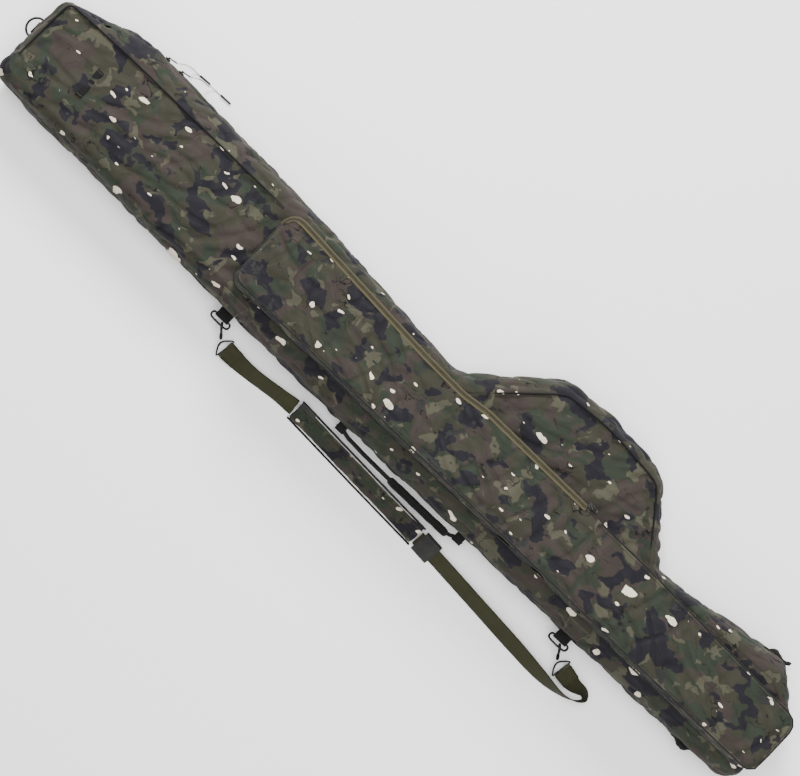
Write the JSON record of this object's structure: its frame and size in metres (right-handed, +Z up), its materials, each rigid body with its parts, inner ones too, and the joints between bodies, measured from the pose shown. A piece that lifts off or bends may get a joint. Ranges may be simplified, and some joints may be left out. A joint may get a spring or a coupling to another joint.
{
  "type": "fishing rod case",
  "caption": "Long padded rod holdall lying on its back, with a round reel pouch, a raised front pocket, a carrying handle and a shoulder strap on snap hooks.",
  "frame": {"origin": "middle of the flat back, on the surface that the case lies on", "axes": "+X along the case to the butt end, +Y to the reel pouch, +Z up through the front pocket"},
  "size_m": [1.9586, 0.4594, 0.1938],
  "materials": {
    "camo_fabric": "woven polyester with a printed woodland pattern",
    "lining_fabric": "plain black lining",
    "olive_webbing": "woven olive webbing",
    "zip_tape": "olive zip tape",
    "black_binding": "black woven binding",
    "black_metal": "black oxide, satin",
    "black_plastic": "moulded nylon",
    "black_foam": "padded wrap",
    "grey_cord": "thin braided cord"
  },
  "bodies": {
    "case_back": {"back_shell": "camo_fabric", "zip_teeth_back": "black_binding", "spine_strip_back": "camo_fabric", "rod_strap_tip": "lining_fabric", "rod_strap_middle": "lining_fabric", "rod_strap_butt": "lining_fabric", "tip_end_pad": "lining_fabric", "butt_end_pad": "lining_fabric", "top_ring_tab": "olive_webbing", "zip_end_tab": "olive_webbing", "handle_anchor_tip": "olive_webbing", "handle_anchor_butt": "olive_webbing", "strap_tab_tip": "camo_fabric", "strap_tab_butt": "camo_fabric"},
    "case_front": {"front_shell": "camo_fabric", "zip_teeth_front": "black_binding", "spine_strip_front": "camo_fabric", "pocket_gusset": "camo_fabric", "pocket_panel": "camo_fabric", "pocket_tape_rim": "zip_tape", "tip_binding": "black_binding", "pouch_binding": "black_binding", "front_loop": "olive_webbing"},
    "divider": {"divider_leaf": "lining_fabric", "leaf_strap_tip": "lining_fabric", "leaf_strap_butt": "lining_fabric"},
    "flap": {"pocket_flap": "camo_fabric", "pocket_tape_flap": "zip_tape"},
    "slider_a": {"main_slider_a": "black_metal"},
    "slider_b": {"main_slider_b": "black_metal"},
    "pull_a": {"main_pull_a": "black_metal", "pull_cord_a": "grey_cord", "cord_grip_a": "black_plastic"},
    "pull_b": {"main_pull_b": "black_metal", "pull_cord_b": "grey_cord", "cord_grip_b": "black_plastic"},
    "pocket_slider": {"pocket_slider": "black_metal"},
    "pocket_pull": {"pocket_pull": "black_metal"},
    "top_ring": {"top_ring": "black_metal"},
    "handle": {"handle_webbing": "black_binding", "handle_grip": "black_foam"},
    "strap": {"strap_ring_tip": "black_metal", "strap_ring_butt": "black_metal", "strap_loop_tip": "black_metal", "strap_loop_butt": "black_metal", "strap_webbing_tip": "olive_webbing", "shoulder_pad": "camo_fabric", "pad_keeper": "black_plastic", "strap_webbing_butt": "olive_webbing"},
    "hook_tip": {"strap_hook_tip": "black_metal"},
    "hook_butt": {"strap_hook_butt": "black_metal"},
    "gate_tip": {"hook_gate_tip": "black_metal"},
    "gate_butt": {"hook_gate_butt": "black_metal"},
    "adjuster": {"strap_adjuster": "black_plastic"}
  },
  "joints": [
    {"name": "lid_hinge", "type": "hinge", "parent": "case_back", "child": "case_front", "pos_m": [0, -0.134, 0.065], "axis": [1, 0, 0], "range_deg": [0, 100]},
    {"name": "divider_turn", "type": "hinge", "parent": "case_back", "child": "divider", "pos_m": [0, -0.134, 0.065], "axis": [1, 0, 0], "range_deg": [0, 50]},
    {"name": "flap_fold", "type": "hinge", "parent": "case_front", "child": "flap", "pos_m": [-0.368, -0.0561, 0.1796], "axis": [0.9886, 0.1504, 0], "range_deg": [0, 110]},
    {"name": "slider_a_run", "type": "slide", "parent": "case_back", "child": "slider_a", "axis": [-0.9989, 0.046, 0], "range_m": [0, 0.024]},
    {"name": "slider_b_run", "type": "slide", "parent": "case_back", "child": "slider_b", "axis": [0.9989, -0.046, 0], "range_m": [0, 0.39]},
    {"name": "pull_a_turn", "type": "hinge", "parent": "slider_a", "child": "pull_a", "pos_m": [-0.7478, 0.143, 0.065], "axis": [0, 0, 1], "range_deg": [0, 115]},
    {"name": "pull_b_turn", "type": "hinge", "parent": "slider_b", "child": "pull_b", "pos_m": [-0.7118, 0.14135, 0.065], "axis": [0, 0, 1], "range_deg": [0, 115]},
    {"name": "pocket_slider_run", "type": "slide", "parent": "case_front", "child": "pocket_slider", "axis": [-1, 0.0098, 0], "range_m": [0, 0.24]},
    {"name": "pocket_pull_turn", "type": "hinge", "parent": "pocket_slider", "child": "pocket_pull", "pos_m": [0.405, 0.07291, 0.1859], "axis": [-0.0098, -1, 0], "range_deg": [0, 160]},
    {"name": "top_ring_swing", "type": "hinge", "parent": "case_back", "child": "top_ring", "pos_m": [-0.972, 0.011, 0.04], "axis": [0, 1, 0], "range_deg": [-75, 80]},
    {"name": "handle_swing", "type": "hinge", "parent": "case_back", "child": "handle", "pos_m": [-0.03, -0.1405, 0.046], "axis": [1, 0, 0], "range_deg": [-25, 60]},
    {"name": "strap_swing", "type": "hinge", "parent": "case_back", "child": "strap", "pos_m": [0.1055, -0.142, 0.046], "axis": [1, 0, 0], "range_deg": [-40, 0]},
    {"name": "hook_tip_swivel", "type": "hinge", "parent": "strap", "child": "hook_tip", "pos_m": [-0.327, -0.1565, 0.03924], "axis": [0.5002, -0.6603, -0.5602], "range_deg": [-10, 10]},
    {"name": "gate_tip_open", "type": "hinge", "parent": "hook_tip", "child": "gate_tip", "pos_m": [-0.3221, -0.16298, 0.02626], "axis": [-0.7971, -0.6039, 0], "range_deg": [-15, 0], "stiffness_Nm_per_rad": 0.02, "springref_deg": 5.73},
    {"name": "hook_butt_swivel", "type": "hinge", "parent": "strap", "child": "hook_butt", "pos_m": [0.558, -0.1565, 0.03924], "axis": [0.5002, -0.6603, -0.5602], "range_deg": [-10, 10]},
    {"name": "gate_butt_open", "type": "hinge", "parent": "hook_butt", "child": "gate_butt", "pos_m": [0.5629, -0.16298, 0.02626], "axis": [-0.7971, -0.6039, 0], "range_deg": [-15, 0], "stiffness_Nm_per_rad": 0.02, "springref_deg": 5.73},
    {"name": "adjuster_run", "type": "slide", "parent": "strap", "child": "adjuster", "axis": [0.9968, -0.0796, 0], "range_m": [0, 0.2]}
  ],
  "couplings": [
    {"joint": "divider_turn", "follows": "lid_hinge", "ratio": 0.5}
  ]
}
